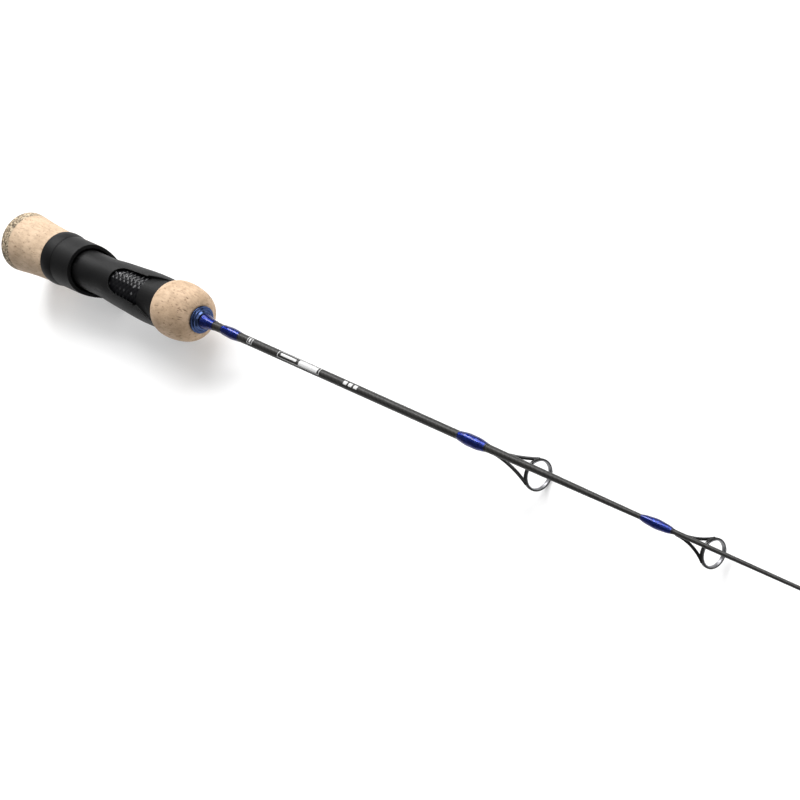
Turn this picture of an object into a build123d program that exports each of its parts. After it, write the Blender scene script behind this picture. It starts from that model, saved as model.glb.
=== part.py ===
"""Ice fishing rod, 28 inch class, millimetres.

The rod's axis is the X axis. The origin is the centre of the butt face, +X runs to
the tip and +Z is up, so the reel and the line guides hang below the rod, on -Z.
Every station along the rod is its distance from the butt face.
"""
from build123d import *
import os
from math import cos, pi, radians, sin

# --- Rod blank: a solid, ground taper (station, radius) -------------------------------
ROD_LENGTH = 711.2
BLANK_START = 4.0
BLANK_END = 709.0
BLANK_TAPER = [(BLANK_START, 2.20), (170.0, 2.19), (345.0, 1.95), (450.0, 1.14), (534.0, 0.80),
               (BLANK_END, 0.60)]

# --- Rear grip -------------------------------------------------------------------------
BUTT_RING_LENGTH = 8.0
BUTT_RADIUS = 15.65
BUTT_EDGE = 3.0
REAR_GRIP_END = 36.1
REAR_GRIP_MIDDLE = 18.6
REAR_GRIP_RADII = (15.22, 14.25, 13.40)
REAR_RING_COUNT = 3

# --- Fore grip: (station, radius) outline, from the seat to the winding check ------------
FORE_GRIP_START = 132.6
FORE_GRIP_END = 157.6
FORE_OUTLINE = [(FORE_GRIP_START, 12.10), (135.7, 13.75), (139.2, 14.25), (147.0, 13.75), (153.7, 11.75),
                (FORE_GRIP_END, 7.30)]
FORE_RING_COUNT = 2

# --- Reel seat: threaded barrel, waist, window and fixed front hood ----------------------
SEAT_BORE = 9.2
SLEEVE_WALL = 1.0
ARBOR_LENGTH = 12.0
THREAD_ROOT = 10.0
THREAD_CREST = 10.9
THREAD_PITCH = 2.5
THREAD_BITE = 0.2
THREAD_ROOT_WIDTH = 1.36
THREAD_CREST_WIDTH = 0.4
THREAD_END = 59.5
THREAD_RUNOUT_TURNS = 1.0
WAIST_START = 60.5
WAIST_RADIUS = 10.1
SEAT_OUTLINE = [(76.5, 10.10), (87.0, 10.85), (100.0, 11.65), (115.0, 12.45), (FORE_GRIP_START, 12.10)]
SWELL_TANGENTS = [(1, 0.02), (1, -0.08)]
SADDLE_Z = -9.6
SADDLE_START = 80.0
RELIEF_START = 58.0
RELIEF_DEPTH = 0.15
KEYWAY_WIDTH = 3.2
KEYWAY_FLOOR = 9.7
KEYWAY_END = 62.8
WINDOW_START = 93.1
WINDOW_END = 118.1
WINDOW_HALF_WIDTH = 7.6
WINDOW_BACK_HALF_WIDTH = 6.9
WINDOW_ROUND_LENGTH = 8.4
PANEL_START = 91.5
PANEL_RADIUS = 10.3
PANEL_LEVEL = 3.5
RAMP_START_RADIUS = 10.5
RAMP_END_HALF_WIDTH = 12.6
RAMP_WALL_LEAN = 30.0
RAMP_WALL_LEVEL = 8.0
RAMP_BACK_REACH = 2.0
FOOT_POCKET_WIDTH = 14.0
FOOT_POCKET_HEIGHT = 4.6
POCKET_WALL = 1.6
POCKET_EDGE = 3.2
FRONT_HOOD_MOUTH = 116.0
FRONT_HOOD_DEPTH = 10.0

# --- Lock nut and sliding hood -------------------------------------------------------------
NUT_START = 36.3
NUT_END = 44.6
NUT_RADIUS = 13.85
NUT_REAR_RADIUS = 13.55
NUT_FRONT_RADIUS = 13.05
NUT_CROWN_AT = 0.4
NUT_EDGE = 0.1
NUT_BORE = 11.2
NUT_THREAD_CREST = 10.3
NUT_THREAD_ROOT_WIDTH = 1.1
NUT_THREAD_RUNOUT_TURNS = 0.4
HOOD_START = 44.72
HOOD_BORE = 11.1
HOOD_RADIUS = 13.05
HOOD_TAPER_START = 62.0
HOOD_TAPER = 1.0
HOOD_NOSE = 0.6
HOOD_EDGE = 0.1
HOOD_MOUTH_TOP = 60.5
HOOD_MOUTH_BULGE = (62.3, -6.4)
HOOD_LIP_END = 76.0
HOOD_LIP_Z = -8.3
HOOD_BULGE_LENGTH = 21.0
HOOD_POCKET_DEPTH = 12.0
KEY_WIDTH = 2.8
KEY_START = 45.5
KEY_LENGTH = 4.5
KEY_BOTTOM = 9.95

# --- Winding check, butt wrap, keeper ----------------------------------------------------------
CHECK_OUTLINE = [(157.6, 6.0), (157.6, 6.75), (158.6, 6.75), (158.85, 6.5), (158.85, 5.95), (159.7, 5.9),
                 (159.95, 5.65), (159.95, 5.1), (161.1, 4.6)]
BUTT_WRAP_RADII = (3.9, 2.95, 2.35)
BUTT_WRAP_END = 169.6
KEEPER_WRAP = (175.6, 190.1, 2.72)
KEEPER_WIRE = 0.45
KEEPER_DROP = 3.4
KEEPER_FOOT = 9.0
KEEPER_SPAN = 4.8
KEEPER_SEAT = 0.15
KEEPER_LOOP_GAP = 0.6

# --- Line guides, butt to tip: the top of each ring leans to the butt by RING_TILT degrees ------------
RING_STATIONS = (382.4, 483.2, 568.5, 644.5)
RING_RADII = (7.15, 6.40, 5.40, 4.40)
RING_DROPS = (14.4, 13.2, 10.6, 8.6)
RING_WIDTHS = (1.5, 1.4, 1.3, 1.2)
RING_TILT = 7.0
FOOT_ENDS = (363.4, 471.8, 559.0, 636.6)
WRAP_LENGTHS = (18.3, 18.0, 15.0, 13.0)
WRAP_PEAKS = (2.82, 2.08, 1.68, 1.46)
FRAME_WALL = 0.62
FRAME_EDGE = 0.25
INSERT_WALL = 0.55
INSERT_PROUD = 0.2
INSERT_LIP = 0.25
LEG_RADII = (0.78, 0.68, 0.56, 0.48)
LEG_START_AHEAD = 0.4
LEG_START_SIDES = (0.45, 0.42, 0.36, 0.28)
LEG_CLEARANCE = 0.05
BALL_SWELL = 1.04
LEG_BOWS = (0.18, 0.27, 0.25, 0.25)
LEG_BEND = (0.05, 0.10)
LEG_ANGLE = 58.0
FOOT_WIDTHS = (1.9, 1.6, 1.3, 1.1)
FOOT_HEIGHT = 0.75
FOOT_INSET = 3.0
FOOT_TOE = 0.12
FOOT_FULL_HEIGHT_AT = 0.7
WRAP_EDGE = 0.06

# --- Tip top -----------------------------------------------------------------------------------
TIP_TUBE_LENGTH = 9.0
TIP_TUBE_RADIUS = 1.0
TIP_TUBE_SETBACK = 1.0
TIP_RING_RADIUS = 3.2
TIP_RING_WIDTH = 1.2
TIP_RING_DROP = 4.4
TIP_WRAP_LENGTH = 7.0
TIP_LEG_RADIUS = 0.42
TIP_LEG_START = (2.5, 0.6, -0.7)
TIP_LEG_BEND = (0.3, 0.5, 0.2)
TIP_WEB = (2.0, 1.0)

# --- Cutters: how far one reaches past the rod, and past the face that it cuts -----------------------
SAFE = 60.0
OVERCUT = 1.0
SLOPE_GAP = 0.01


def turned(*curves):
    """A solid of revolution about the rod's axis, from an outline that closes on it."""
    return revolve(make_face(Curve() + list(curves)), Axis.X)


def closed_outline(points):
    """Straight lines through the points and back to the first one."""
    return Polyline(*points, close=True)


def cylinder(start, end, radius, z=0.0, y=0.0):
    """A cylinder along X between two stations."""
    return Pos((start + end) / 2, y, z) * Rot(0, 90, 0) * Cylinder(radius, end - start)


def block(x_range, y_range, z_range):
    """A box given by its low and high limits on each axis."""
    size = [high - low for low, high in (x_range, y_range, z_range)]
    middle = [(low + high) / 2 for low, high in (x_range, y_range, z_range)]
    return Pos(*middle) * Box(*size)


def blank_radius(station):
    """The blank's radius at a station, between the ends of its tapers."""
    for (x0, r0), (x1, r1) in zip(BLANK_TAPER, BLANK_TAPER[1:]):
        if station <= x1:
            return r0 + (r1 - r0) * (station - x0) / (x1 - x0)
    return BLANK_TAPER[-1][1]


def make_blank():
    """The rod blank, solid, with its ground taper."""
    points = [(BLANK_START, 0.0)] + BLANK_TAPER + [(BLANK_END, 0.0)]
    return turned(closed_outline(points))


BLANK = make_blank()


def slices(solid, start, end, count):
    """The solid cut square to the axis into rings of equal length."""
    step = (end - start) / count
    rings = []
    for index in range(count):
        low = start + index * step
        rings.append(solid & block((low, low + step), (-SAFE, SAFE), (-SAFE, SAFE)))
    return rings


def make_butt_ring():
    """The burl cork ring that caps the butt, bored blind for the blank."""
    inner = BUTT_RADIUS - BUTT_EDGE
    corner = BUTT_EDGE * (1 - cos(pi / 4))
    end = (BUTT_RING_LENGTH, REAR_GRIP_RADII[0])
    outline = [
        Line((0, 0), (0, inner)),
        ThreePointArc((0, inner), (corner, BUTT_RADIUS - corner), (BUTT_EDGE, BUTT_RADIUS)),
        Line((BUTT_EDGE, BUTT_RADIUS), end),
        Line(end, (BUTT_RING_LENGTH, 0)),
        Line((BUTT_RING_LENGTH, 0), (0, 0)),
    ]
    return turned(*outline) - BLANK


def make_rear_grip():
    """The rear cork, flared to the butt, with the bore for the blank."""
    low = (BUTT_RING_LENGTH, REAR_GRIP_RADII[0])
    middle = (REAR_GRIP_MIDDLE, REAR_GRIP_RADII[1])
    high = (REAR_GRIP_END, REAR_GRIP_RADII[2])
    outline = [
        Line((low[0], 0), low),
        ThreePointArc(low, middle, high),
        Line(high, (high[0], 0)),
        Line((high[0], 0), (low[0], 0)),
    ]
    return turned(*outline) - BLANK


def make_fore_grip():
    """The fore cork, a bulb that closes down on the winding check."""
    low = FORE_OUTLINE[0]
    high = FORE_OUTLINE[-1]
    outline = [
        Line((low[0], 0), low),
        Spline(*FORE_OUTLINE),
        Line(high, (high[0], 0)),
        Line((high[0], 0), (low[0], 0)),
    ]
    return turned(*outline) - BLANK


def thread_ridge(start, turns, root, crest, root_width):
    """One helical ridge about the rod's axis: right-handed, crest inside or outside."""
    helix = Helix(THREAD_PITCH, turns * THREAD_PITCH, root)
    half_root = root_width / 2
    half_crest = THREAD_CREST_WIDTH / 2
    outline = [(root, 0, -half_root), (crest, 0, -half_crest), (crest, 0, half_crest), (root, 0, half_root)]
    ridge = sweep(make_face(closed_outline(outline)), path=helix, is_frenet=True)
    return Pos(start, 0, 0) * Rot(0, 90, 0) * ridge


def pocket_bulge(start, end, nose):
    """The rounded block that a foot pocket is cut in, below the saddle."""
    bottom = SADDLE_Z - FOOT_POCKET_HEIGHT - POCKET_WALL
    half = FOOT_POCKET_WIDTH / 2 + POCKET_WALL
    body = block((start, end), (-half, half), (bottom, 0))
    long_edges = body.edges().filter_by(Axis.X).group_by(Axis.Z)[0]
    body = fillet(long_edges, POCKET_EDGE)
    below = bottom - OVERCUT
    slope = closed_outline([(nose[0], 0, below), (nose[1], 0, below), (nose[0], 0, SADDLE_Z)])
    return body - extrude(make_face(slope), amount=SAFE, both=True, dir=(0, 1, 0))


def foot_pocket(start, end):
    """The slot that one end of a reel's foot slides into."""
    half = FOOT_POCKET_WIDTH / 2
    return block((start, end), (-half, half), (SADDLE_Z - FOOT_POCKET_HEIGHT, SADDLE_Z + RELIEF_DEPTH))


def make_reel_seat():
    """The reel seat: threaded barrel, waist, palm swell, window and fixed hood."""
    swell = [
        Line((REAR_GRIP_END, 0), (REAR_GRIP_END, THREAD_ROOT)),
        Line((REAR_GRIP_END, THREAD_ROOT), (WAIST_START, WAIST_RADIUS)),
        Line((WAIST_START, WAIST_RADIUS), SEAT_OUTLINE[0]),
        Spline(*SEAT_OUTLINE, tangents=SWELL_TANGENTS),
        Line(SEAT_OUTLINE[-1], (FORE_GRIP_START, 0)),
        Line((FORE_GRIP_START, 0), (REAR_GRIP_END, 0)),
    ]
    seat = turned(*swell)
    turns = (THREAD_END - REAR_GRIP_END) / THREAD_PITCH - THREAD_RUNOUT_TURNS
    seat += thread_ridge(REAR_GRIP_END + THREAD_PITCH / 2, turns, THREAD_ROOT - THREAD_BITE, THREAD_CREST,
                         THREAD_ROOT_WIDTH)
    mouth = FRONT_HOOD_MOUTH
    nose = (FORE_GRIP_START + SLOPE_GAP, mouth + FRONT_HOOD_DEPTH + POCKET_WALL)
    seat += pocket_bulge(mouth, FORE_GRIP_START, nose)
    seat -= block((SADDLE_START, mouth), (-SAFE, SAFE), (-SAFE, SADDLE_Z))
    seat -= block((RELIEF_START, SADDLE_START), (-SAFE, SAFE), (-SAFE, SADDLE_Z + RELIEF_DEPTH))
    seat -= foot_pocket(mouth, mouth + FRONT_HOOD_DEPTH)
    half_key = KEYWAY_WIDTH / 2
    seat -= block((REAR_GRIP_END, KEYWAY_END), (-half_key, half_key), (KEYWAY_FLOOR, SAFE))
    seat -= make_window()
    seat -= make_ramp()
    return seat - cylinder(0, ROD_LENGTH, SEAT_BORE) - make_panel()


def make_panel():
    """The raised part of the carbon sleeve that fills the floor of the window."""
    upper = block((PANEL_START, WINDOW_END), (-SAFE, SAFE), (PANEL_LEVEL, SAFE))
    return cylinder(PANEL_START, WINDOW_END, PANEL_RADIUS) & upper


def make_window():
    """The window's cutter: round at the back, square and wider at the front, seen from above."""
    half = WINDOW_HALF_WIDTH
    back = WINDOW_BACK_HALF_WIDTH
    turn = WINDOW_START + WINDOW_ROUND_LENGTH
    lean = (turn - WINDOW_END, back - half)
    tangents = [lean, (0, -1), (-lean[0], lean[1])]
    outline = [
        Line((WINDOW_END, half), (turn, back)),
        Spline((turn, back), (WINDOW_START, 0), (turn, -back), tangents=tangents),
        Line((turn, -back), (WINDOW_END, -half)),
        Line((WINDOW_END, -half), (WINDOW_END, half)),
    ]
    return extrude(make_face(Curve() + outline), amount=SAFE)


def make_ramp():
    """The cutter that flares from the window's front edge out to the fore grip."""
    half = WINDOW_HALF_WIDTH
    start = WINDOW_END - RAMP_BACK_REACH
    end = FORE_GRIP_START + OVERCUT
    plan = [(start, -half), (WINDOW_END, -half), (FORE_GRIP_START, -RAMP_END_HALF_WIDTH),
            (end, -RAMP_END_HALF_WIDTH), (end, RAMP_END_HALF_WIDTH), (FORE_GRIP_START, RAMP_END_HALF_WIDTH),
            (WINDOW_END, half), (start, half)]
    level = Pos(0, 0, RAMP_WALL_LEVEL) * make_face(closed_outline(plan))
    prism = extrude(level, amount=RAMP_WALL_LEVEL, taper=-RAMP_WALL_LEAN)
    prism += extrude(level, amount=-RAMP_WALL_LEVEL, taper=RAMP_WALL_LEAN)
    prism &= block((WINDOW_END, end), (-SAFE, SAFE), (0, SAFE))
    back = WINDOW_END - OVERCUT
    core = [(back, 0), (back, RAMP_START_RADIUS), (WINDOW_END, RAMP_START_RADIUS),
            (FORE_GRIP_START, SEAT_OUTLINE[-1][1]), (end, SEAT_OUTLINE[-1][1]), (end, 0)]
    return prism - turned(closed_outline(core))


def make_carbon_sleeve():
    """The woven carbon tube that lines the seat and shows in the window."""
    outer = cylinder(REAR_GRIP_END, FORE_GRIP_START, SEAT_BORE) + make_panel()
    return outer - cylinder(0, ROD_LENGTH, SEAT_BORE - SLEEVE_WALL)


def make_arbor(start):
    """A foam arbor that centres the blank in the carbon sleeve."""
    return cylinder(start, start + ARBOR_LENGTH, SEAT_BORE - SLEEVE_WALL) - BLANK


def make_lock_nut():
    """The lock nut, crowned outside and threaded inside."""
    rear = (NUT_START + NUT_EDGE, NUT_REAR_RADIUS)
    crown = (NUT_START + (NUT_END - NUT_START) * NUT_CROWN_AT, NUT_RADIUS)
    front = (NUT_END - NUT_EDGE, NUT_FRONT_RADIUS)
    outline = [
        Line((NUT_START, NUT_BORE), (NUT_START, NUT_REAR_RADIUS - NUT_EDGE)),
        Line((NUT_START, NUT_REAR_RADIUS - NUT_EDGE), rear),
        ThreePointArc(rear, crown, front),
        Line(front, (NUT_END, NUT_FRONT_RADIUS - NUT_EDGE)),
        Line((NUT_END, NUT_FRONT_RADIUS - NUT_EDGE), (NUT_END, NUT_BORE)),
        Line((NUT_END, NUT_BORE), (NUT_START, NUT_BORE)),
    ]
    start = REAR_GRIP_END + THREAD_PITCH
    turns = (NUT_END - start) / THREAD_PITCH - NUT_THREAD_RUNOUT_TURNS
    ridge = thread_ridge(start, turns, NUT_BORE + THREAD_BITE, NUT_THREAD_CREST, NUT_THREAD_ROOT_WIDTH)
    return turned(*outline) + ridge


def make_sliding_hood():
    """The sliding hood: a collar with a swept mouth, a key and a pocket for the foot."""
    lip_radius = HOOD_RADIUS - HOOD_TAPER
    past_lip = HOOD_LIP_END + OVERCUT
    outline = [(HOOD_START, 0), (HOOD_START, HOOD_RADIUS - HOOD_EDGE),
               (HOOD_START + HOOD_EDGE, HOOD_RADIUS), (HOOD_TAPER_START, HOOD_RADIUS),
               (HOOD_LIP_END - HOOD_NOSE, lip_radius), (HOOD_LIP_END, lip_radius - HOOD_NOSE),
               (HOOD_LIP_END, 0)]
    hood = turned(closed_outline(outline))
    pocket_end = HOOD_LIP_END - HOOD_POCKET_DEPTH
    bulge_start = HOOD_LIP_END - HOOD_BULGE_LENGTH
    hood += pocket_bulge(bulge_start, HOOD_LIP_END, (bulge_start - SLOPE_GAP, pocket_end - POCKET_WALL))
    hood -= cylinder(0, ROD_LENGTH, HOOD_BORE)
    hood -= foot_pocket(pocket_end, past_lip)
    top = HOOD_RADIUS + OVERCUT
    bulge = (HOOD_MOUTH_BULGE[0], 0, HOOD_MOUTH_BULGE[1])
    cut = [
        Bezier((HOOD_MOUTH_TOP, 0, top), bulge, (past_lip, 0, HOOD_LIP_Z)),
        Line((past_lip, 0, HOOD_LIP_Z), (past_lip, 0, top)),
        Line((past_lip, 0, top), (HOOD_MOUTH_TOP, 0, top)),
    ]
    hood -= extrude(make_face(Curve() + cut), amount=SAFE, both=True, dir=(0, 1, 0))
    half = KEY_WIDTH / 2
    key_top = HOOD_BORE + HOOD_EDGE
    return hood + block((KEY_START, KEY_START + KEY_LENGTH), (-half, half), (KEY_BOTTOM, key_top))


def make_winding_check():
    """The stepped metal ring that finishes the fore grip."""
    first = CHECK_OUTLINE[0][0]
    last = CHECK_OUTLINE[-1][0]
    return turned(closed_outline([(first, 0)] + CHECK_OUTLINE + [(last, 0)])) - BLANK


def make_butt_wrap():
    """The thread nose that closes the check down on the blank."""
    start = CHECK_OUTLINE[-1][0]
    middle = (start + BUTT_WRAP_END) / 2
    low, half_way, high = BUTT_WRAP_RADII
    outline = [
        Line((start, 0), (start, low)),
        ThreePointArc((start, low), (middle, half_way), (BUTT_WRAP_END, high)),
        Line((BUTT_WRAP_END, high), (BUTT_WRAP_END, 0)),
        Line((BUTT_WRAP_END, 0), (start, 0)),
    ]
    return turned(*outline) - BLANK


def wrap(start, end, peak):
    """A thread wrap under its varnish: a long oval about the blank."""
    low = blank_radius(start) + WRAP_EDGE
    high = blank_radius(end) + WRAP_EDGE
    middle = (start + end) / 2
    outline = [
        Line((start, 0), (start, low)),
        ThreePointArc((start, low), (middle, peak), (end, high)),
        Line((end, high), (end, 0)),
        Line((end, 0), (start, 0)),
    ]
    return turned(*outline) - BLANK


def make_hook_keeper():
    """The small wire loop under the blank that parks the hook."""
    foot_start = KEEPER_WRAP[1] - KEEPER_FOOT
    level = KEEPER_SEAT - blank_radius(foot_start) - KEEPER_WIRE
    drop = level - KEEPER_DROP
    loop_start = KEEPER_WRAP[1] + KEEPER_LOOP_GAP
    middle = loop_start + KEEPER_SPAN / 2
    loop_end = loop_start + KEEPER_SPAN
    arc = ThreePointArc((loop_start, 0, level), (middle, 0, drop), (loop_end, 0, level))
    wire = cylinder(foot_start, loop_start, KEEPER_WIRE, z=level)
    wire += tube_along(arc, KEEPER_WIRE)
    return wire - BLANK


def tube_along(arc, radius):
    """A round bar along an arc, with slightly swollen ball ends."""
    bar = sweep(Plane(arc @ 0, z_dir=arc % 0) * Circle(radius), path=arc)
    for end in (arc @ 0, arc @ 1):
        bar += Pos(*end) * Sphere(radius * BALL_SWELL)
    return bar


def tilted(shape, station, drop):
    """The shape leaned about a ring's centre: the ring's top goes towards the butt."""
    centre = Pos(station, 0, -drop)
    return centre * Rot(0, -RING_TILT, 0) * centre.inverse() * shape


def ring_at(station, drop, outer, inner, width):
    """A ring about a line parallel to X, with rounded edges, below the axis."""
    body = cylinder(station - width / 2, station + width / 2, outer, z=-drop)
    body = fillet(body.edges(), FRAME_EDGE)
    return body - cylinder(station - width, station + width, inner, z=-drop)


def guide_foot(start, end, width):
    """The foot under the wrap: a bar ground to a taper towards the butt."""
    thin = -blank_radius(start) - FOOT_TOE
    deep = -blank_radius(end) - FOOT_HEIGHT
    full = start + (end - start) * FOOT_FULL_HEIGHT_AT
    side = [(start, 0, thin), (full, 0, deep), (end, 0, deep), (end, 0, 0), (start, 0, 0)]
    return extrude(make_face(closed_outline(side)), amount=width / 2, both=True, dir=(0, 1, 0))


def guide_leg(index, side):
    """One leg of a guide frame, bowed from the foot out to the ring holder."""
    station, drop = RING_STATIONS[index], RING_DROPS[index]
    foot_end, thickness = FOOT_ENDS[index], LEG_RADII[index]
    level = -blank_radius(foot_end) - thickness * BALL_SWELL - LEG_CLEARANCE
    line = RING_RADII[index] - FRAME_WALL / 2
    up = line * cos(radians(LEG_ANGLE))
    out = line * sin(radians(LEG_ANGLE))
    tilt = radians(RING_TILT)
    start = Vector(foot_end + LEG_START_AHEAD, side * LEG_START_SIDES[index], level)
    end = Vector(station - up * sin(tilt), side * out, up * cos(tilt) - drop)
    run = end - start
    bend = Vector(LEG_BEND[0] * run.X, -LEG_BOWS[index] * run.Y, LEG_BEND[1] * abs(run.Z))
    return tube_along(ThreePointArc(start, start + run / 2 + bend, end), thickness)


def make_guide_frame(index):
    """A single-foot guide frame: foot, two curved legs and the ring holder."""
    station, drop = RING_STATIONS[index], RING_DROPS[index]
    radius, width = RING_RADII[index], RING_WIDTHS[index]
    foot_end = FOOT_ENDS[index]
    seat = radius - FRAME_WALL
    bore = tilted(cylinder(station - width * 2, station + width * 2, seat, z=-drop), station, drop)
    frame = tilted(ring_at(station, drop, radius, seat, width), station, drop)
    for side in (-1, 1):
        frame += guide_leg(index, side) - bore
    foot_start = foot_end - WRAP_LENGTHS[index] + FOOT_INSET
    return frame + (guide_foot(foot_start, foot_end + LEG_START_AHEAD, FOOT_WIDTHS[index]) - BLANK)


def insert_ring(station, drop, outer, width):
    """A hard ring with its inner lips rounded, so that the line never meets an edge."""
    section = Rot(90, 0, 0) * RectangleRounded(width, INSERT_WALL, INSERT_LIP)
    section = Pos(station, 0, outer - INSERT_WALL / 2 - drop) * section
    return revolve(section, Axis((0, 0, -drop), (1, 0, 0)))


def make_guide_ring(index):
    """The hard ring insert that the line runs through."""
    station, drop = RING_STATIONS[index], RING_DROPS[index]
    width = RING_WIDTHS[index] + 2 * INSERT_PROUD
    insert = insert_ring(station, drop, RING_RADII[index] - FRAME_WALL, width)
    return tilted(insert, station, drop)


def make_tip_top():
    """The tip-top frame: a tube on the blank's tip that carries the ring holder."""
    tube_start = ROD_LENGTH - TIP_TUBE_LENGTH
    bore = TIP_RING_RADIUS - FRAME_WALL
    frame = cylinder(tube_start, ROD_LENGTH - TIP_TUBE_SETBACK, TIP_TUBE_RADIUS)
    frame += ring_at(ROD_LENGTH, TIP_RING_DROP, TIP_RING_RADIUS, bore, TIP_RING_WIDTH)
    line = TIP_RING_RADIUS - FRAME_WALL / 2
    for side in (-1, 1):
        ahead, aside, below = TIP_LEG_START
        start = Vector(tube_start + ahead, side * aside, below)
        end = Vector(ROD_LENGTH, side * line, -TIP_RING_DROP)
        bend = Vector(TIP_LEG_BEND[0], side * TIP_LEG_BEND[1], TIP_LEG_BEND[2])
        frame += tube_along(ThreePointArc(start, (start + end) / 2 + bend, end), TIP_LEG_RADIUS)
    half_web = TIP_WEB[1] / 2
    frame += block((ROD_LENGTH - TIP_WEB[0], ROD_LENGTH), (-half_web, half_web), (bore - TIP_RING_DROP, 0))
    past = ROD_LENGTH + TIP_RING_WIDTH
    return frame - BLANK - cylinder(tube_start, past, bore, z=-TIP_RING_DROP)


def build_parts():
    """Every sub-part by its node name."""
    parts = {"rod_blank": BLANK, "butt_ring": make_butt_ring()}
    rear = slices(make_rear_grip(), BUTT_RING_LENGTH, REAR_GRIP_END, REAR_RING_COUNT)
    for index, ring in enumerate(rear, 1):
        parts[f"rear_cork_ring_{index}"] = ring
    fore = slices(make_fore_grip(), FORE_GRIP_START, FORE_GRIP_END, FORE_RING_COUNT)
    for index, ring in enumerate(fore, 1):
        parts[f"fore_cork_ring_{index}"] = ring
    parts["reel_seat"] = make_reel_seat()
    parts["carbon_sleeve"] = make_carbon_sleeve()
    parts["rear_arbor"] = make_arbor(REAR_GRIP_END)
    parts["front_arbor"] = make_arbor(FORE_GRIP_START - ARBOR_LENGTH)
    parts["lock_nut"] = make_lock_nut()
    parts["sliding_hood"] = make_sliding_hood()
    parts["winding_check"] = make_winding_check()
    parts["butt_wrap"] = make_butt_wrap()
    parts["hook_keeper"] = make_hook_keeper()
    parts["keeper_wrap"] = wrap(*KEEPER_WRAP) - parts["hook_keeper"]
    for index, foot_end in enumerate(FOOT_ENDS):
        frame = make_guide_frame(index)
        parts[f"guide_{index + 1}_frame"] = frame
        parts[f"guide_{index + 1}_ring"] = make_guide_ring(index)
        cover = wrap(foot_end - WRAP_LENGTHS[index], foot_end, WRAP_PEAKS[index])
        parts[f"guide_{index + 1}_wrap"] = cover - frame
    tip = make_tip_top()
    parts["tip_top_frame"] = tip
    bore = TIP_RING_RADIUS - FRAME_WALL
    parts["tip_top_ring"] = insert_ring(ROD_LENGTH, TIP_RING_DROP, bore, TIP_RING_WIDTH + 2 * INSERT_PROUD)
    wrap_end = ROD_LENGTH - TIP_TUBE_LENGTH
    parts["tip_wrap"] = wrap(wrap_end - TIP_WRAP_LENGTH, wrap_end, TIP_TUBE_RADIUS)
    return parts


os.makedirs("parts", exist_ok=True)
for name, shape in build_parts().items():
    export_step(shape, f"parts/{name}.step")
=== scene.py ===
"""Looks of the ice fishing rod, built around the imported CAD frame. Metres throughout."""
import math

import bmesh
import bpy
import numpy as np
from mathutils import Matrix, Vector


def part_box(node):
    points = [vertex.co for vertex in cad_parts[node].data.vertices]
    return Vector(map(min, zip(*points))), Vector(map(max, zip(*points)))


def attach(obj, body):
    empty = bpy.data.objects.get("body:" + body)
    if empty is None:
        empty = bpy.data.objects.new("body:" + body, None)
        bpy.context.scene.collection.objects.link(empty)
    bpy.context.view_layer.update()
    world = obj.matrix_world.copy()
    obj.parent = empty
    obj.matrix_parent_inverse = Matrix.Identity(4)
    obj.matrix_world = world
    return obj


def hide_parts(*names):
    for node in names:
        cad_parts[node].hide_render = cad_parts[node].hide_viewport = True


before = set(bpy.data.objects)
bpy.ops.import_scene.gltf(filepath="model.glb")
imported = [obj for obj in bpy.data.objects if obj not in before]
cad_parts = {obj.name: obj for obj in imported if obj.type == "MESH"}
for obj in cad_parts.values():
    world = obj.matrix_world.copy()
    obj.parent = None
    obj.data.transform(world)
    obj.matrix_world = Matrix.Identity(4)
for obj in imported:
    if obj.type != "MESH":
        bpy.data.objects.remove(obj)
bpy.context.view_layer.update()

MM = 0.001
TURN = 2 * math.pi
SEED = 7

# Camera: in orbit about a point near the rod's axis, rolled about its own line of sight.
CAMERA_STATION = 303.46 * MM
CAMERA_DISTANCE = 1087.2 * MM
CAMERA_AZIMUTH = math.radians(-6.093)
CAMERA_ELEVATION = math.radians(44.044)
CAMERA_ROLL = math.radians(-57.282)
CAMERA_LENS = 112.5
CAMERA_AIM_Y = 3.51 * MM
SENSOR_WIDTH = 36.0
CLIP_START = 0.01

# Reading the CAD meshes: points this near share a station, lie on a fitted outline, or are one.
SAME_STATION = 2e-6
FIT_SLACK = 0.01 * MM
WELD = 1e-6

# Corks: the mesh, the groove of a glue joint, and the pits (width and depth in mm).
CORK_SEGMENTS = 520
CORK_STEP = 0.16 * MM
CORK_JOINT = 0.03 * MM
PIT_WIDTHS = (0.10, 0.34)
PIT_STRETCH = (0.8, 3.0)
PIT_DEPTHS = (0.03, 0.16)
REAR_PITS = 60
FORE_PITS = 110

# Woven carbon: tows round the tube, the height of a crown, the mesh, and the size of the
# table that gives each crossing its own painted sheen.
TOWS = 18
TOW_RELIEF = 0.26 * MM
WEAVE_SEGMENTS = 440
WEAVE_STEP = 0.14 * MM
SHEEN_TABLE = (97, 89)

# Thread wraps: the mesh, the slow wave in the epoxy (radians per metre), and the fade from
# thread to bare epoxy.
WRAP_STATIONS = 160
WRAP_SEGMENTS = 96
WRAP_WAVE = 0.035 * MM
WRAP_WAVE_RATE = 900.0
WRAP_FADE = 0.25 * MM

# What a wrap does over a foot: the part of the foot it looks at, the epoxy that covers the
# foot, and how far round the blank the swelling spreads (radians).
FOOT_HALF_WIDTH = 1.2 * MM
FOOT_END_GAP = 0.5 * MM
FOOT_COVER = 0.24 * MM
FOOT_SPREAD = 0.62

# Blank and its print: the meshes, half the thickness of the print, and the lines of a frame.
BLANK_STATIONS = 700
BLANK_SEGMENTS = 64
PRINT_SKIN = 0.03 * MM
PRINT_STEP = 0.5 * MM
PRINT_TURN_STEP = 0.06
PRINT_LINE = 0.35 * MM
PRINT_EDGE = math.radians(6)

# Guides: a ring insert's section is a squarish oval; a frame's legs thicken towards the foot.
RING_SECTION_SEGMENTS = 40
RING_SEGMENTS = 160
RING_SQUARENESS = 3.2
LEG_GAIN = 0.1 * MM
LEG_REACH = 16 * MM

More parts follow.
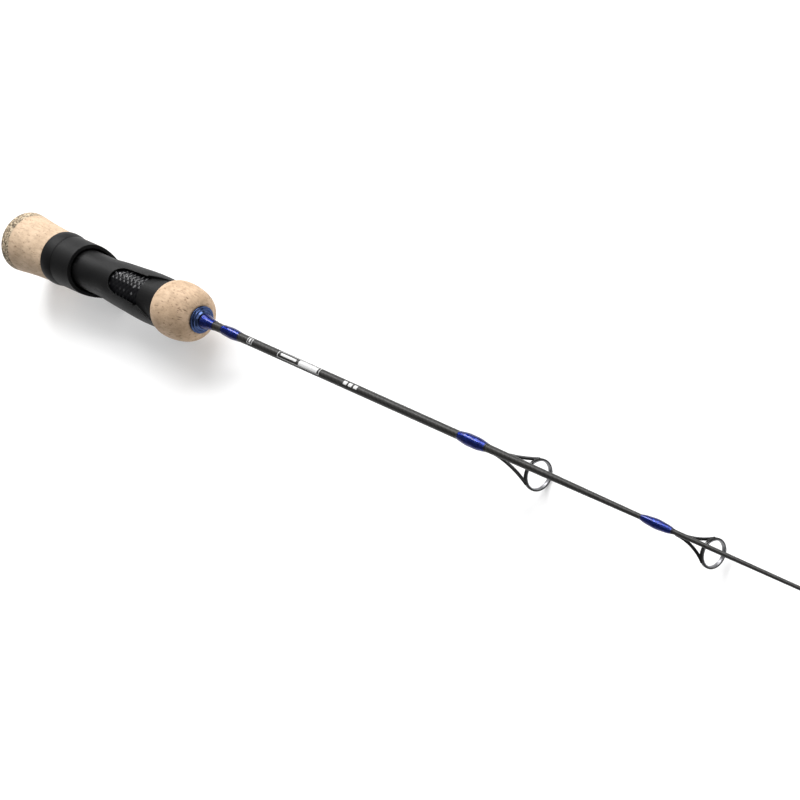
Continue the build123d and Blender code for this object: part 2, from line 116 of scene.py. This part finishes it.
# Stage.
FLOOR_SIZE = 3.0
FLOOR_GAP = 0.2 * MM
FLOOR_GLOW = 0.34
SKY_STRENGTH = 0.22


# ---------------------------------------------------------------- mesh helpers

def mesh_object(name, points, faces, smooth=True):
    """A mesh object from an array of points and a list of faces."""
    mesh = bpy.data.meshes.new(name)
    mesh.from_pydata([tuple(p) for p in points], [], [tuple(f) for f in faces])
    mesh.validate()
    if smooth:
        mesh.polygons.foreach_set("use_smooth", [True] * len(mesh.polygons))
    piece = bpy.data.objects.new(name, mesh)
    bpy.context.scene.collection.objects.link(piece)
    return piece


def lathe(name, stations, radii, segments, shift=None, closed=False):
    """A surface turned about the X axis.

    shift(x, angle, radius) gives a new radius for the whole grid at once. An open outline
    runs towards +X and ends in a fan on the axis; a closed one is a loop, such as a ring's
    section, and runs towards +X on its outer side. So every face looks outwards.
    """
    stations = np.asarray(stations, float)
    radii = np.asarray(radii, float)
    angle = np.arange(segments) * TURN / segments
    x = np.repeat(stations[:, None], segments, 1)
    r = np.repeat(radii[:, None], segments, 1)
    a = np.repeat(angle[None, :], len(stations), 0)
    if shift is not None:
        r = shift(x, a, r)
    points = np.stack([x, r * np.cos(a), r * np.sin(a)], -1).reshape(-1, 3)
    rows = len(stations)
    i, j = np.meshgrid(np.arange(rows if closed else rows - 1), np.arange(segments), indexing="ij")
    here, after = i * segments, (i + 1) % rows * segments
    beside = (j + 1) % segments
    quads = np.stack([here + j, here + beside, after + beside, after + j], -1)
    faces = quads.reshape(-1, 4).tolist()
    if not closed:
        low, high = len(points), len(points) + 1
        points = np.vstack([points, [(stations[0], 0.0, 0.0), (stations[-1], 0.0, 0.0)]])
        last = (rows - 1) * segments
        for k in range(segments):
            faces.append((low, (k + 1) % segments, k))
            faces.append((high, last + k, last + (k + 1) % segments))
    return mesh_object(name, points, faces)


def points_of(node):
    """The vertices of a CAD node's mesh, as an array."""
    return np.array([v.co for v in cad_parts[node].data.vertices])


def tag_points(piece, name, values):
    """Stores one number per vertex; the two fan centres of an open lathe get zero."""
    flat = np.concatenate([np.ravel(values), [0.0, 0.0]]).astype(np.float32)
    piece.data.attributes.new(name, "FLOAT", "POINT").data.foreach_set("value", flat)


def outline_of(*nodes, degree=None, rounds=1):
    """(low, high, radius(x)) of turned CAD nodes: the outer outline, read from their meshes.

    A degree fits a smooth curve; further rounds leave out the points well inside it, which
    belong to slots and bores.
    """
    co = np.concatenate([points_of(node) for node in nodes])
    x = co[:, 0]
    r = np.hypot(co[:, 1], co[:, 2])
    low, high = x.min(), x.max()
    edges = np.unique(np.round(x, 6))
    outer = np.array([r[np.abs(x - e) < SAME_STATION].max() for e in edges])
    if degree is None:
        return low, high, lambda at: np.interp(at, edges, outer)
    middle, half = (low + high) / 2, (high - low) / 2
    at_edges = (edges - middle) / half
    kept = np.ones(len(edges), bool)
    for _ in range(rounds):
        fit = np.polynomial.Polynomial.fit(at_edges[kept], outer[kept], degree)
        kept = outer > fit(at_edges) - FIT_SLACK
    return low, high, lambda at: fit((np.asarray(at) - middle) / half)


def rounded_copy(node, voxel, rounds):
    """A CAD node's shape with its edges eased, as a moulded or dipped part has them.

    voxel is the size of the new mesh's faces, in mm; rounds is how often they are smoothed.
    """
    piece = bpy.data.objects.new(node + "_shape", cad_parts[node].data.copy())
    bpy.context.scene.collection.objects.link(piece)
    work = bmesh.new()
    work.from_mesh(piece.data)
    bmesh.ops.remove_doubles(work, verts=work.verts, dist=WELD)
    work.to_mesh(piece.data)
    work.free()
    remesh = piece.modifiers.new("remesh", "REMESH")
    remesh.mode = "VOXEL"
    remesh.voxel_size = voxel * MM
    ease = piece.modifiers.new("ease", "SMOOTH")
    ease.factor = 0.5
    ease.iterations = rounds
    bake_modifiers(piece)
    return piece


def bake_modifiers(piece):
    """Applies the piece's modifiers to its mesh."""
    bpy.context.view_layer.update()
    depsgraph = bpy.context.evaluated_depsgraph_get()
    made = bpy.data.meshes.new_from_object(piece.evaluated_get(depsgraph))
    piece.modifiers.clear()
    piece.data = made
    made.polygons.foreach_set("use_smooth", [True] * len(made.polygons))


def stand_for(piece, node, body, look):
    """The piece replaces a CAD node, rides on its body and takes a look."""
    piece.data.materials.clear()
    piece.data.materials.append(look)
    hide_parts(node)
    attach(piece, body)


# ---------------------------------------------------------------- material helpers

class Look:
    """A node material with one Principled shader and short calls to build its net."""

    def __init__(self, name):
        self.material = bpy.data.materials.new(name)
        self.material.use_nodes = True
        self.tree = self.material.node_tree
        self.shader = self.tree.nodes["Principled BSDF"]
        self.place = self.add("ShaderNodeTexCoord").outputs["Object"]

    def add(self, kind, **settings):
        node = self.tree.nodes.new(kind)
        for key, value in settings.items():
            setattr(node, key, value)
        return node

    def join(self, source, target):
        self.tree.links.new(source, target)

    def set(self, **sockets):
        for key, value in sockets.items():
            self.shader.inputs[key.replace("_", " ")].default_value = value

    def stretched(self, scale):
        mapping = self.add("ShaderNodeMapping")
        mapping.inputs["Scale"].default_value = scale
        self.join(self.place, mapping.inputs["Vector"])
        return mapping.outputs["Vector"]

    def noise(self, scale, detail=4.0, rough=0.55, place=None):
        node = self.add("ShaderNodeTexNoise")
        node.inputs["Scale"].default_value = scale
        node.inputs["Detail"].default_value = detail
        node.inputs["Roughness"].default_value = rough
        self.join(place or self.place, node.inputs["Vector"])
        return node.outputs["Fac"]

    def cells(self, scale):
        node = self.add("ShaderNodeTexVoronoi", feature="F1")
        node.inputs["Scale"].default_value = scale
        self.join(self.place, node.inputs["Vector"])
        return node

    def ramp(self, source, stops):
        node = self.add("ShaderNodeValToRGB")
        band = node.color_ramp
        while len(band.elements) < len(stops):
            band.elements.new(0.5)
        for element, (at, colour) in zip(band.elements, stops):
            element.position = at
            element.color = (*(colour if isinstance(colour, tuple) else (colour,) * 3), 1.0)
        self.join(source, node.inputs["Fac"])
        return node.outputs["Color"]

    def mix(self, factor, first, second):
        node = self.add("ShaderNodeMix", data_type="RGBA")
        for socket, value in (("Factor", factor), ("A", first), ("B", second)):
            target = [s for s in node.inputs if s.name == socket and s.enabled][0]
            if isinstance(value, bpy.types.NodeSocket):
                self.join(value, target)
            else:
                target.default_value = (*value, 1.0)
        return [s for s in node.outputs if s.enabled][0]

    def scaled(self, source, factor):
        node = self.add("ShaderNodeMath", operation="MULTIPLY")
        self.join(source, node.inputs[0])
        node.inputs[1].default_value = factor
        return node.outputs[0]

    def attribute(self, name):
        return self.add("ShaderNodeAttribute", attribute_name=name).outputs["Fac"]

    def colour(self, source):
        self.join(source, self.shader.inputs["Base Color"])

    def roughness(self, source):
        self.join(source, self.shader.inputs["Roughness"])

    def bump(self, source, distance, strength):
        node = self.add("ShaderNodeBump")
        node.inputs["Distance"].default_value = distance
        node.inputs["Strength"].default_value = strength
        self.join(source, node.inputs["Height"])
        self.join(node.outputs["Normal"], self.shader.inputs["Normal"])


def cork_look(name, pale, deep):
    """Natural cork: soft clouds, fine growth streaks and brown pits."""
    look = Look(name)
    clouds = look.noise(110.0, 5.0)
    grain = look.noise(700.0, 4.0, 0.62, look.stretched((0.35, 1.0, 1.0)))
    base = look.mix(look.ramp(clouds, [(0.35, 0.0), (0.68, 1.0)]), pale, deep)
    shade = tuple(0.55 * c for c in deep)
    base = look.mix(look.ramp(grain, [(0.45, 0.0), (0.75, 0.55)]), base, shade)
    specks = look.noise(700.0, 2.0, 0.5, look.stretched((0.45, 1.0, 1.0)))
    base = look.mix(look.ramp(specks, [(0.64, 0.0), (0.72, 0.6)]), base, (0.20, 0.12, 0.065))
    base = look.mix(look.attribute("pit"), base, (0.13, 0.075, 0.04))
    look.colour(base)
    look.roughness(look.ramp(grain, [(0.3, 0.60), (0.8, 0.85)]))
    look.bump(look.noise(1500.0, 3.0), 0.00015, 0.5)
    look.set(Specular_IOR_Level=0.25)
    return look.material


def burl_look():
    """Burl cork: pressed chips of pale, brown and dark cork."""
    look = Look("burl_cork")
    wobble = look.noise(500.0, 3.0)
    cell = look.cells(1350.0)
    split = look.add("ShaderNodeSeparateColor")
    look.join(cell.outputs["Color"], split.inputs[0])
    chips = look.ramp(split.outputs[0], [
        (0.0, (0.42, 0.32, 0.21)), (0.2, (0.035, 0.022, 0.012)), (0.4, (0.56, 0.45, 0.31)),
        (0.6, (0.06, 0.04, 0.02)), (0.8, (0.64, 0.53, 0.38)), (1.0, (0.02, 0.014, 0.008))])
    base = look.mix(look.ramp(wobble, [(0.45, 0.0), (0.75, 0.6)]), chips, (0.09, 0.06, 0.03))
    look.colour(base)
    look.set(Roughness=0.72, Specular_IOR_Level=0.3)
    look.bump(look.noise(1300.0, 3.0), 0.00015, 0.6)
    return look.material


def soft_touch_look():
    """Matt black soft-touch moulding with a very fine skin."""
    look = Look("soft_touch_black")
    skin = look.noise(5200.0, 2.0)
    wear = look.noise(60.0, 4.0)
    look.colour(look.ramp(wear, [(0.3, (0.0035, 0.0035, 0.0037)),
                                 (0.75, (0.0055, 0.0055, 0.0057))]))
    look.roughness(look.ramp(wear, [(0.3, 0.50), (0.8, 0.60)]))
    look.bump(skin, 0.00003, 0.5)
    look.set(Specular_IOR_Level=0.13)
    return look.material


def blank_look():
    """Clear-coated graphite with a faint slanting fibre pattern."""
    look = Look("graphite_blank")
    fibres = look.noise(1.0, 5.0, 0.6, look.stretched((160.0, 900.0, 900.0)))
    lay = look.add("ShaderNodeTexWave", wave_type="BANDS", bands_direction="DIAGONAL")
    lay.inputs["Scale"].default_value = 240.0
    lay.inputs["Distortion"].default_value = 2.5
    lay.inputs["Detail"].default_value = 3.0
    look.join(look.place, lay.inputs["Vector"])
    base = look.ramp(fibres, [(0.3, (0.007, 0.007, 0.0066)), (0.75, (0.018, 0.0175, 0.0165))])
    base = look.mix(look.scaled(lay.outputs["Fac"], 0.35), base, (0.040, 0.037, 0.034))
    look.colour(base)
    look.set(Roughness=0.46, Specular_IOR_Level=0.19, Coat_Weight=0.05, Coat_Roughness=0.3)
    look.bump(fibres, 0.00004, 0.4)
    return look.material


def weave_look():
    """Woven carbon under resin: near-black, with a painted highlight on each crown."""
    look = Look("carbon_weave")
    crown_highlight = look.ramp(look.attribute("crown_highlight"), [(0.35, 0.0), (0.95, 1.0)])
    fibre = look.noise(2600.0, 2.0)
    streaks = look.ramp(fibre, [(0.35, 0.0), (0.7, 1.0)])
    # Painted highlight on each crown, streaked along the fibres; the carbon itself is near-black.
    crown = look.mix(streaks, (0.07, 0.07, 0.073), (0.27, 0.27, 0.28))
    look.colour(look.mix(crown_highlight, (0.003, 0.003, 0.004), crown))
    look.set(Metallic=0.3, Roughness=0.36, Specular_IOR_Level=0.12)
    look.set(Coat_Weight=0.08, Coat_Roughness=0.10)
    look.bump(fibre, 0.00003, 0.4)
    return look.material


def check_look():
    """Turned, pale blue anodised metal."""
    look = Look("anodised_check")
    rings = look.noise(1.0, 2.0, 0.5, look.stretched((9000.0, 60.0, 60.0)))
    look.colour(look.ramp(rings, [(0.3, (0.012, 0.025, 0.078)), (0.75, (0.048, 0.085, 0.21))]))
    look.roughness(look.ramp(rings, [(0.3, 0.16), (0.8, 0.26)]))
    look.bump(rings, 0.00003, 0.5)
    look.set(Metallic=1.0, Specular_Tint=(0.30, 0.38, 0.65, 1.0))
    look.set(Coat_Weight=0.4, Coat_Roughness=0.14)
    return look.material


def thread_look(name):
    """Metallic blue thread under clear epoxy; bare epoxy over the blank at both ends."""
    look = Look(name)
    turns = look.add("ShaderNodeTexWave", wave_type="BANDS", bands_direction="X")
    turns.inputs["Scale"].default_value = 1000.0
    turns.inputs["Distortion"].default_value = 0.6
    look.join(look.place, turns.inputs["Vector"])
    glints = look.noise(1.0, 3.0, 0.6, look.stretched((900.0, 3600.0, 3600.0)))
    blue = look.mix(turns.outputs["Fac"], (0.0006, 0.0026, 0.036), (0.0015, 0.0105, 0.145))
    blue = look.mix(look.ramp(glints, [(0.50, 0.0), (0.76, 0.7)]), blue, (0.065, 0.125, 0.56))
    look.colour(look.mix(look.attribute("thread"), (0.012, 0.012, 0.016), blue))
    look.join(look.scaled(look.attribute("thread"), 0.75), look.shader.inputs["Metallic"])
    look.bump(turns.outputs["Fac"], 0.00004, 0.6)
    look.set(Roughness=0.24, Specular_IOR_Level=0.2, Specular_Tint=(0.07, 0.10, 0.34, 1.0))
    look.set(Coat_Weight=0.60, Coat_Roughness=0.05, Coat_IOR=1.35)
    return look.material


def black_gloss_look():
    """Gloss black plating on the guide frames."""
    look = Look("guide_black")
    film = look.noise(400.0, 3.0)
    look.colour(look.ramp(film, [(0.3, (0.004, 0.004, 0.004)), (0.8, (0.009, 0.009, 0.009))]))
    look.roughness(look.ramp(film, [(0.3, 0.16), (0.8, 0.26)]))
    look.bump(look.noise(1800.0, 2.0), 0.00001, 0.4)
    look.set(Specular_IOR_Level=0.25, Coat_Weight=0.2, Coat_Roughness=0.06)
    return look.material


def insert_look():
    """The polished dark grey ring insert."""
    look = Look("ring_insert")
    haze = look.noise(900.0, 3.0)
    look.colour(look.ramp(haze, [(0.3, (0.16, 0.16, 0.17)), (0.8, (0.26, 0.26, 0.27))]))
    look.roughness(look.ramp(haze, [(0.3, 0.38), (0.8, 0.48)]))
    look.set(Metallic=1.0)
    return look.material


def foam_look():
    """The rigid foam of the hidden arbors."""
    look = Look("arbor_foam")
    pores = look.cells(1500.0)
    depth = pores.outputs["Distance"]
    # Each pore painted darker towards its centre: painted shade in the pores.
    look.colour(look.ramp(depth, [(0.1, (0.42, 0.38, 0.28)), (0.5, (0.66, 0.62, 0.50))]))
    look.bump(depth, 0.0001, 0.6)
    look.set(Roughness=0.85)
    return look.material


def marking_look():
    """Off-white print on the blank."""
    look = Look("blank_print")
    ink = look.noise(1500.0, 3.0)
    look.colour(look.ramp(ink, [(0.3, (0.42, 0.42, 0.42)), (0.7, (0.60, 0.60, 0.60))]))
    look.set(Roughness=0.45)
    return look.material


# ---------------------------------------------------------------- pieces

def smooth_step(value, low, high):
    """0 below low, 1 above high, and a smooth rise between them."""
    t = np.clip((value - low) / (high - low), 0.0, 1.0)
    return t * t * (3 - 2 * t)


def apart(angle, middle):
    """How far an angle lies from a middle one, between minus and plus half a turn."""
    return np.mod(angle - middle + math.pi, TURN) - math.pi


def pit_field(low, high, radius, count, rng):
    """Random pits for a cork ring: a function of station and angle that gives their depth."""
    at = rng.uniform(low, high, count)
    turn = rng.uniform(0, TURN, count)
    wide = rng.uniform(*PIT_WIDTHS, count) * MM
    long = wide * rng.uniform(*PIT_STRETCH, count)
    deep = rng.uniform(*PIT_DEPTHS, count) * MM

    def field(x, angle):
        depth = np.zeros_like(x)
        for k in range(count):
            across = apart(angle, turn[k]) * radius / wide[k]
            along = (x - at[k]) / long[k]
            near = np.exp(-(across ** 2 + along ** 2) ** 1.5)
            depth = np.maximum(depth, deep[k] * near)
        return depth

    return field


def cork_ring(node, outline, look, rng, pits):
    """One cork ring with real pits and a hairline glue joint at each end."""
    low, high = (corner.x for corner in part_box(node))
    inner = np.linspace(low, high, int((high - low) / CORK_STEP))
    stations = np.concatenate([[low], inner, [high]])
    radii = outline(stations)
    radii[0] -= CORK_JOINT
    radii[-1] -= CORK_JOINT
    field = pit_field(low, high, float(outline((low + high) / 2)), pits, rng)
    depths = []

    def shift(x, angle, radius):
        depths.append(field(x, angle))
        return radius - depths[0]

    piece = lathe(node + "_cork", stations, radii, CORK_SEGMENTS, shift=shift)
    tag_points(piece, "pit", depths[0] / (PIT_DEPTHS[1] * MM))
    stand_for(piece, node, "root", look)


def make_corks():
    """Both grips and the burl cap."""
    rng = np.random.default_rng(SEED)
    rear = [f"rear_cork_ring_{i}" for i in (1, 2, 3)]
    fore = [f"fore_cork_ring_{i}" for i in (1, 2)]
    rear_look = cork_look("rear_cork", (0.53, 0.395, 0.275), (0.42, 0.305, 0.205))
    fore_look = cork_look("fore_cork", (0.54, 0.39, 0.265), (0.40, 0.28, 0.18))
    for nodes, look, degree, pits in ((rear, rear_look, 3, REAR_PITS),
                                      (fore, fore_look, 9, FORE_PITS)):
        outline = outline_of(*nodes, degree=degree)[2]
        for node in nodes:
            cork_ring(node, outline, look, rng, pits)
    burl = rounded_copy("butt_ring", voxel=0.22, rounds=3)
    stand_for(burl, "butt_ring", "root", burl_look())


def make_seat():
    """Reel seat, hood and nut, with the eased edges of a dipped moulding."""
    look = soft_touch_look()
    for node, body, voxel in (("reel_seat", "root", 0.2), ("sliding_hood", "hood", 0.16),
                              ("lock_nut", "nut", 0.16)):
        piece = rounded_copy(node, voxel, rounds=1)
        stand_for(piece, node, body, look)


def make_sleeve():
    """The woven carbon tube: square tows on the bias, each crown raised in the mesh."""
    lowest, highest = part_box("carbon_sleeve")
    low, high = lowest.x, highest.x
    radius, panel = -lowest.z, highest.z
    co = points_of("carbon_sleeve")
    raised = co[np.hypot(co[:, 1], co[:, 2]) > (radius + panel) / 2]
    panel_low, panel_high = raised[:, 0].min(), raised[:, 0].max()
    panel_level = raised[:, 2].min()
    stations = np.arange(low, high, WEAVE_STEP)
    rng = np.random.default_rng(SEED + 1)
    sheen = rng.uniform(0.1, 1.0, SHEEN_TABLE) ** 2
    crown_highlights = []

    def shift(x, angle, r):
        across = angle * TOWS / TURN
        along = (x - low) * TOWS / (TURN * radius)
        first, second = across + along, across - along
        row, column = np.floor(first).astype(int), np.floor(second).astype(int)
        over = (row + column) % 2 == 0
        crown = np.abs(np.sin(math.pi * first) * np.sin(math.pi * second))
        own = sheen[row % SHEEN_TABLE[0], column % SHEEN_TABLE[1]]
        # Painted highlight on over crowns, each with its own painted sheen; almost none under.
        crown_highlights.append(np.where(over, smooth_step(crown, 0.35, 0.85) * own, 0.05 * crown))
        on_panel = ((x >= panel_low) & (x <= panel_high)
                    & (panel * np.sin(angle) >= panel_level))
        height = np.where(over, crown, 0.3 * crown)
        return np.where(on_panel, panel, r) - TOW_RELIEF * (1 - height)

    piece = lathe("carbon_weave_tube", stations, np.full(len(stations), radius),
                  WEAVE_SEGMENTS, shift=shift)
    tag_points(piece, "crown_highlight", crown_highlights[0])
    stand_for(piece, "carbon_sleeve", "root", weave_look())


def make_check():
    """The winding check: a turned metal cap in three steps."""
    piece = rounded_copy("winding_check", voxel=0.08, rounds=3)
    stand_for(piece, "winding_check", "root", check_look())


def foot_under(foot, low, high):
    """How far below the axis a foot reaches: a function of station, for a wrap's length.

    It rises from the wrap's first end to the foot's thin end, and on to its full thickness.
    """
    co = points_of(foot)
    near = co[(co[:, 0] > low) & (co[:, 0] < high - FOOT_END_GAP)
              & (np.abs(co[:, 1]) < FOOT_HALF_WIDTH)]
    depth = -near[:, 2]
    start = near[:, 0].min()
    thin = depth[near[:, 0] < start + FIT_SLACK].max()
    full = near[depth > depth.max() - FIT_SLACK, 0].min()
    return lambda x: np.interp(x, [low, start, full], [0.0, thin, depth.max()])


def make_wrap(node, look, bare, foot=None):
    """A thread wrap: glossy, a little uneven, swelling over a guide's or the keeper's foot.

    bare is the length of plain epoxy at each end.
    """
    low, high, outline = outline_of(node, degree=2, rounds=8)
    stations = np.linspace(low, high, WRAP_STATIONS)
    foot_depth = foot_under(foot, low, high) if foot else None

    def shift(x, angle, r):
        wave = WRAP_WAVE * np.sin(x * WRAP_WAVE_RATE + 1.3 * np.sin(angle))
        r = r + wave * np.sin(math.pi * (x - low) / (high - low))
        if foot_depth is None:
            return r
        under = np.exp(-(apart(angle, -math.pi / 2) / FOOT_SPREAD) ** 4)
        cover = foot_depth(x) + FOOT_COVER
        return np.where(cover > r, r + (cover - r) * under, r)

    piece = lathe(node + "_turned", stations, outline(stations), WRAP_SEGMENTS, shift=shift)
    x = np.repeat(stations, WRAP_SEGMENTS)
    begun = smooth_step(x, low + bare, low + bare + WRAP_FADE)
    ended = smooth_step(x, high - bare - WRAP_FADE, high - bare)
    tag_points(piece, "thread", begun * (1 - ended))
    stand_for(piece, node, "root", look)


def make_wraps():
    """Thread nose, keeper wrap and the wraps of the guides and the tip top."""
    look = thread_look("blue_thread")
    make_wrap("butt_wrap", look, 0.2 * MM)
    make_wrap("keeper_wrap", look, 0.7 * MM, foot="hook_keeper")
    for i in (1, 2, 3, 4):
        make_wrap(f"guide_{i}_wrap", look, 0.7 * MM, foot=f"guide_{i}_frame")
    make_wrap("tip_wrap", look, 0.5 * MM)


def make_blank():
    """The blank, turned finely enough for an even highlight."""
    low, high, outline = outline_of("rod_blank")
    stations = np.linspace(low, high, BLANK_STATIONS)
    piece = lathe("rod_blank_turned", stations, outline(stations), BLANK_SEGMENTS)
    stand_for(piece, "rod_blank", "root", blank_look())


def printed_strip(name, look, start, end, low_angle, high_angle):
    """A thin patch of print lying on the blank between two stations and two angles."""
    outline = outline_of("rod_blank")[2]
    rows = max(2, int((end - start) / PRINT_STEP) + 1)
    columns = max(2, int((high_angle - low_angle) / PRINT_TURN_STEP) + 1)
    stations = np.linspace(start, end, rows)
    x, a = np.meshgrid(stations, np.linspace(low_angle, high_angle, columns), indexing="ij")
    points = []
    for lift in (PRINT_SKIN, -PRINT_SKIN):
        r = (outline(stations) + lift)[:, None]
        points.append(np.stack([x, r * np.cos(a), r * np.sin(a)], -1).reshape(-1, 3))
    half = rows * columns
    faces = []
    for i in range(rows - 1):
        for j in range(columns - 1):
            k = i * columns + j
            faces.append((k, k + 1, k + columns + 1, k + columns))
            faces.append((half + k, half + k + columns, half + k + columns + 1, half + k + 1))
    grid = np.arange(half).reshape(rows, columns)
    rim = np.concatenate([grid[0], grid[1:, -1], grid[-1, -2::-1], grid[-2:0:-1, 0]]).tolist()
    for here, after in zip(rim, rim[1:] + rim[:1]):
        faces.append((here, half + here, half + after, after))
    piece = mesh_object(name, np.vstack(points), faces, smooth=False)
    piece.data.materials.append(look)
    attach(piece, "root")


def make_print():
    """Plain marks: a small frame with a bar, a long one with a bar and a panel, three ticks."""
    look = marking_look()
    low, high = math.radians(34), math.radians(134)
    line, edge = PRINT_LINE, PRINT_EDGE

    def framed(name, start, end, first, last):
        printed_strip(name + "_low", look, start, end, last - edge, last)
        printed_strip(name + "_high", look, start, end, first, first + edge)
        printed_strip(name + "_rear", look, start, start + line, first + edge, last - edge)
        printed_strip(name + "_front", look, end - line, end, first + edge, last - edge)

    def filled(name, start, end, first, last):
        printed_strip(name, look, start, end, low + first * edge, high - last * edge)

    framed("print_small_frame", 197.0 * MM, 200.8 * MM, low + 2 * edge, high - edge)
    filled("print_small_bar", 198.4 * MM, 199.4 * MM, 4, 4)
    framed("print_frame", 220.4 * MM, 251.2 * MM, low, high)
    filled("print_bar", 222.6 * MM, 234.0 * MM, 5, 6)
    filled("print_panel", 236.0 * MM, 249.6 * MM, 2, 2)
    for k, station in enumerate((268.4, 272.0, 275.6)):
        filled(f"print_tick_{k + 1}", station * MM, (station + 2.4) * MM, 3, 5)


def ring_frame(node):
    """(centre, lean, outer radius, inner radius, width) of a ring, read from its CAD mesh."""
    co = points_of(node)
    low, high = co.min(0), co.max(0)
    centre = (low + high) / 2
    outer = (high[1] - low[1]) / 2
    flat = co[np.abs(co[:, 1]) < outer * 0.25] - centre
    bottom, top = flat[flat[:, 2] < 0].mean(0), flat[flat[:, 2] > 0].mean(0)
    lean = math.atan2(bottom[0] - top[0], top[2] - bottom[2])
    axis = np.array([math.cos(lean), 0.0, math.sin(lean)])
    along = (co - centre) @ axis
    inner = np.linalg.norm(co - centre - along[:, None] * axis, axis=1).min()
    return centre, lean, outer, inner, along.max() - along.min()


def stouten_legs(piece, ring_start):
    """Thickens a frame's legs towards its foot, as a stamped frame's legs are."""
    mesh = piece.data
    count = len(mesh.vertices)
    co, normal = np.empty(count * 3), np.empty(count * 3)
    mesh.vertices.foreach_get("co", co)
    mesh.vertices.foreach_get("normal", normal)
    co, normal = co.reshape(-1, 3), normal.reshape(-1, 3)
    swell = LEG_GAIN * smooth_step(ring_start - co[:, 0], 0.0, LEG_REACH)
    mesh.vertices.foreach_set("co", (co + normal * swell[:, None]).ravel())
    mesh.update()


def make_guides():
    """Frames and ring inserts of the guides and the tip top, and the hook keeper."""
    black = black_gloss_look()
    grey = insert_look()
    turn = -np.arange(RING_SECTION_SEGMENTS) * TURN / RING_SECTION_SEGMENTS
    round_x, round_r = (np.sign(wave) * np.abs(wave) ** (2 / RING_SQUARENESS)
                        for wave in (np.cos(turn), np.sin(turn)))
    for name in ["tip_top"] + [f"guide_{i}" for i in (1, 2, 3, 4)]:
        centre, lean, outer, inner, width = ring_frame(name + "_ring")
        piece = rounded_copy(name + "_frame", voxel=0.11, rounds=2)
        stouten_legs(piece, centre[0] - outer)
        stand_for(piece, name + "_frame", "root", black)
        radii = (outer + inner) / 2 + (outer - inner) / 2 * round_r
        ring = lathe(name + "_ring_turned", width / 2 * round_x, radii, RING_SEGMENTS, closed=True)
        ring.data.transform(Matrix.Translation(centre.tolist()) @ Matrix.Rotation(-lean, 4, "Y"))
        stand_for(ring, name + "_ring", "root", grey)
    keeper = rounded_copy("hook_keeper", voxel=0.1, rounds=2)
    stand_for(keeper, "hook_keeper", "root", black)


def dress_hidden():
    """The two hidden arbors keep their CAD meshes and only take a look."""
    look = foam_look()
    for node in ("rear_arbor", "front_arbor"):
        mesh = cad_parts[node].data
        mesh.materials.clear()
        mesh.materials.append(look)


# ---------------------------------------------------------------- stage

def make_stage():
    """A pale, faintly glowing floor under the lowest guide frame, and a white sky."""
    far, level = FLOOR_SIZE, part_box("guide_1_frame")[0].z - FLOOR_GAP
    corners = [(-far, -far, level), (far, -far, level), (far, far, level), (-far, far, level)]
    floor = mesh_object("floor", corners, [(0, 1, 2, 3)], smooth=False)
    look = Look("pale_floor")
    look.colour(look.ramp(look.noise(3.0), [(0.3, (0.60, 0.60, 0.60)), (0.7, (0.64, 0.64, 0.64))]))
    look.set(Roughness=0.9, Emission_Color=(1.0, 1.0, 1.0, 1.0), Emission_Strength=FLOOR_GLOW)
    floor.data.materials.append(look.material)
    world = bpy.data.worlds.new("studio")
    world.use_nodes = True
    sky = world.node_tree.nodes["Background"]
    sky.inputs["Color"].default_value = (1, 1, 1, 1)
    sky.inputs["Strength"].default_value = SKY_STRENGTH
    bpy.context.scene.world = world
    bpy.context.scene.view_settings.view_transform = "Standard"


def soft_box(name, place, aim, size, power):
    """A rectangular lamp that looks from its place at its aim."""
    light = bpy.data.lights.new(name, "AREA")
    light.shape = "RECTANGLE"
    light.size, light.size_y = size
    light.energy = power
    lamp = bpy.data.objects.new(name, light)
    lamp.location = place
    lamp.rotation_euler = (Vector(aim) - Vector(place)).to_track_quat("-Z", "Y").to_euler()
    bpy.context.scene.collection.objects.link(lamp)


def make_lights():
    """A broad key from the +Y side, a strip beyond the butt and a soft light from above."""
    soft_box("key", (0.0, 1.2, 1.1), (0.25, 0, 0), (1.6, 1.0), 34.0)
    soft_box("strip", (-1.1, 0.85, 1.25), (0.3, 0, 0), (0.4, 1.3), 28.0)
    soft_box("top", (0.4, 0.1, 1.6), (0.35, 0, 0), (1.8, 1.3), 10.0)


def make_camera():
    """The camera, in orbit about a point near the axis and rolled about its line of sight."""
    aim = Vector((CAMERA_STATION, CAMERA_AIM_Y, 0.0))
    out = Vector((math.cos(CAMERA_ELEVATION) * math.cos(CAMERA_AZIMUTH),
                  math.cos(CAMERA_ELEVATION) * math.sin(CAMERA_AZIMUTH),
                  math.sin(CAMERA_ELEVATION)))
    lens = bpy.data.cameras.new("camera")
    lens.lens = CAMERA_LENS
    lens.sensor_width = SENSOR_WIDTH
    lens.clip_start = CLIP_START
    camera = bpy.data.objects.new("camera", lens)
    facing = (-out).to_track_quat("-Z", "Y").to_matrix().to_4x4()
    camera.matrix_world = (Matrix.Translation(aim + out * CAMERA_DISTANCE) @ facing
                           @ Matrix.Rotation(CAMERA_ROLL, 4, "Z"))
    bpy.context.scene.collection.objects.link(camera)
    bpy.context.scene.camera = camera


make_camera()
make_stage()
make_lights()
make_blank()
make_print()
make_corks()
make_sleeve()
make_seat()
make_check()
make_wraps()
make_guides()
dress_hidden()
